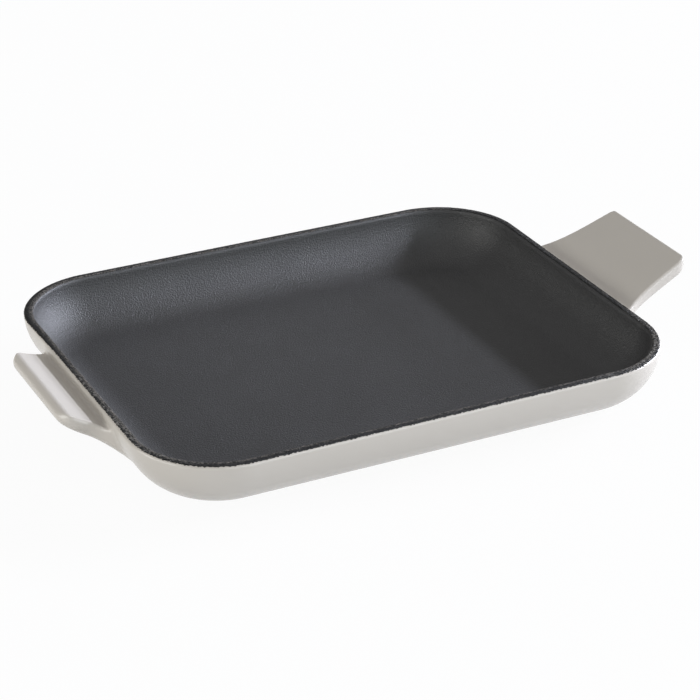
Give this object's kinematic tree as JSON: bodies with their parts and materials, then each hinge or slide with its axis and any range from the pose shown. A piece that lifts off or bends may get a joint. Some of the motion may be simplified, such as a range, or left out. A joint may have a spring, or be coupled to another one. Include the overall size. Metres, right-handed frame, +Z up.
{
  "type": "cast iron serving dish",
  "caption": "Shallow rectangular enamelled cast iron serving dish with rounded walls, a dark satin lining, a light gloss outside and a sloping tab handle on each end, one long and one short.",
  "frame": {"origin": "middle of the foot's flat underside, on the table, below the middle of the dish's body", "axes": "+X along the dish towards the long handle, +Y across the dish, +Z up out of the dish"},
  "size_m": [0.3688, 0.242, 0.0477],
  "materials": {
    "grey_iron": "as cast, covered by the coats",
    "black_enamel": "satin, finely grained",
    "colour_enamel": "gloss",
    "ground_coat": "matt, slightly rough"
  },
  "bodies": {
    "root": {"iron_casting": "grey_iron", "interior_enamel": "black_enamel", "exterior_enamel": "colour_enamel", "rim_ground_coat": "ground_coat", "foot_ground_coat": "ground_coat"}
  },
  "joints": []
}
